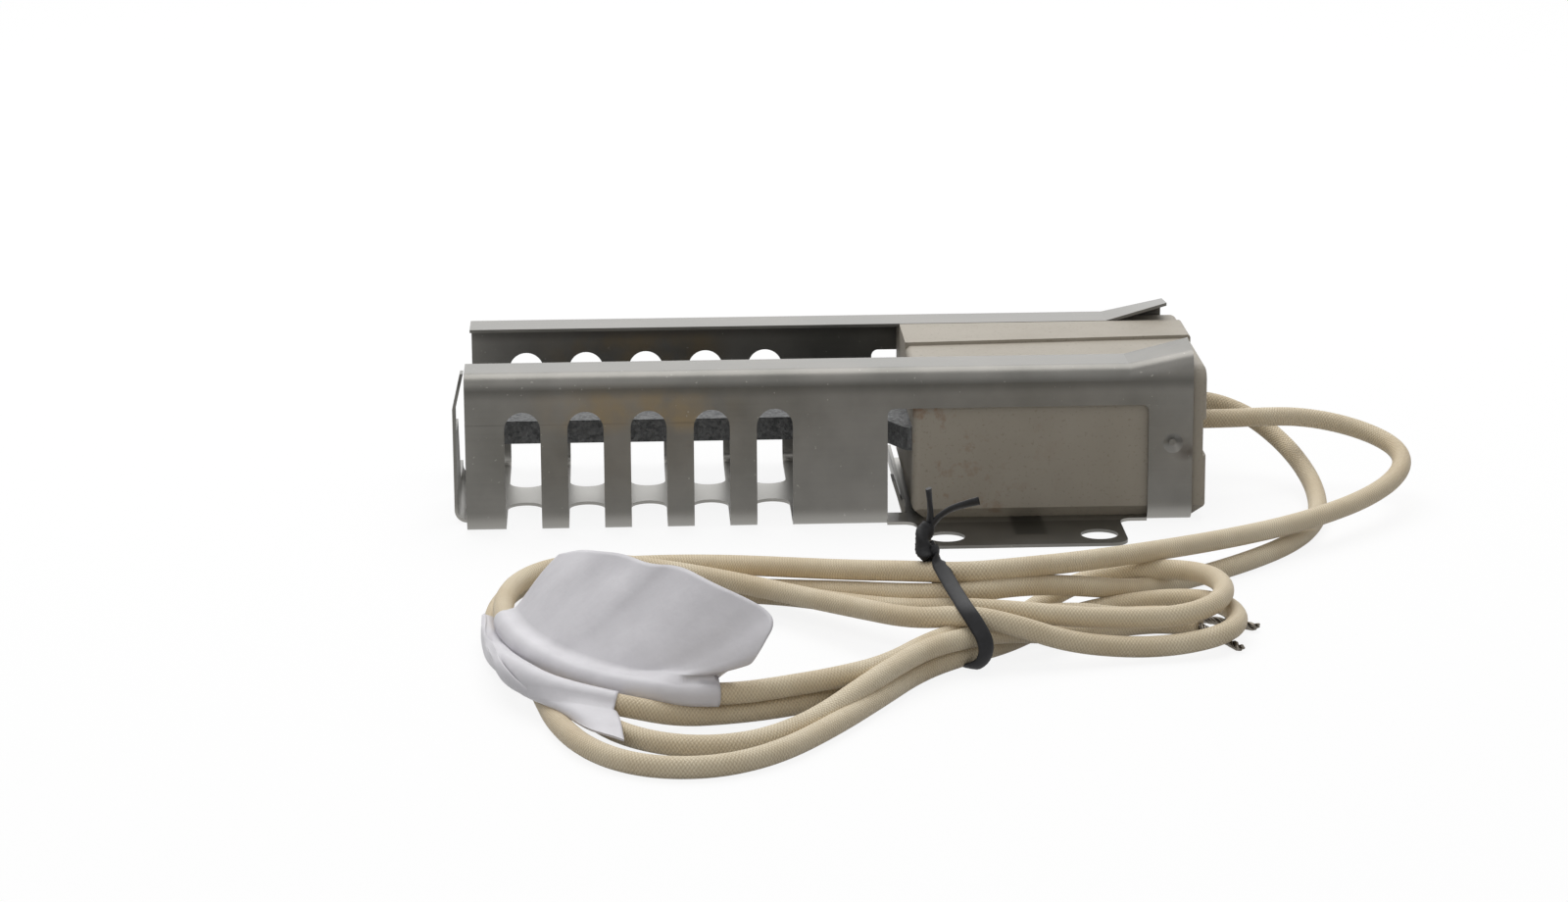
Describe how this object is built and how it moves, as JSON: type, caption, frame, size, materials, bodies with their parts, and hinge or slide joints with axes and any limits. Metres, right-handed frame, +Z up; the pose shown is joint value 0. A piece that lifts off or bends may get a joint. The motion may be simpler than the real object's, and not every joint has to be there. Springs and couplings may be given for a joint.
{
  "type": "hot surface igniter",
  "caption": "Flat carbide igniter blade in a ceramic block inside a folded, slotted sheet-metal shield with a two-hole tab and two braided leads in a tied hank.",
  "frame": {"origin": "midway between the two mounting holes, on the underside of the tab", "axes": "+X along the shield towards the lead end, +Y from the tab towards the shield's back wall, +Z up out of the channel"},
  "size_m": [0.1828, 0.1972, 0.0334],
  "materials": {
    "shield_steel": "satin",
    "ceramic": "matte",
    "silicon_carbide": "matte",
    "contact_metal": "satin",
    "bare_strands": "satin",
    "cement": "matte",
    "glass_braid": "matte",
    "tie_plastic": "satin",
    "label_film": "satin"
  },
  "bodies": {
    "root": {"shield_bracket": "shield_steel", "ceramic_block": "ceramic", "heating_element": "silicon_carbide", "contact_clip_rear": "contact_metal", "contact_clip_front": "contact_metal", "conductor_rear": "bare_strands", "conductor_front": "bare_strands", "potting_cement": "cement", "lead_rear": "glass_braid", "lead_front": "glass_braid", "lead_hank": "glass_braid", "lead_end_rear": "bare_strands", "lead_end_front": "bare_strands", "twist_tie": "tie_plastic", "label_flag": "label_film", "label_sleeve": "label_film"}
  },
  "joints": []
}
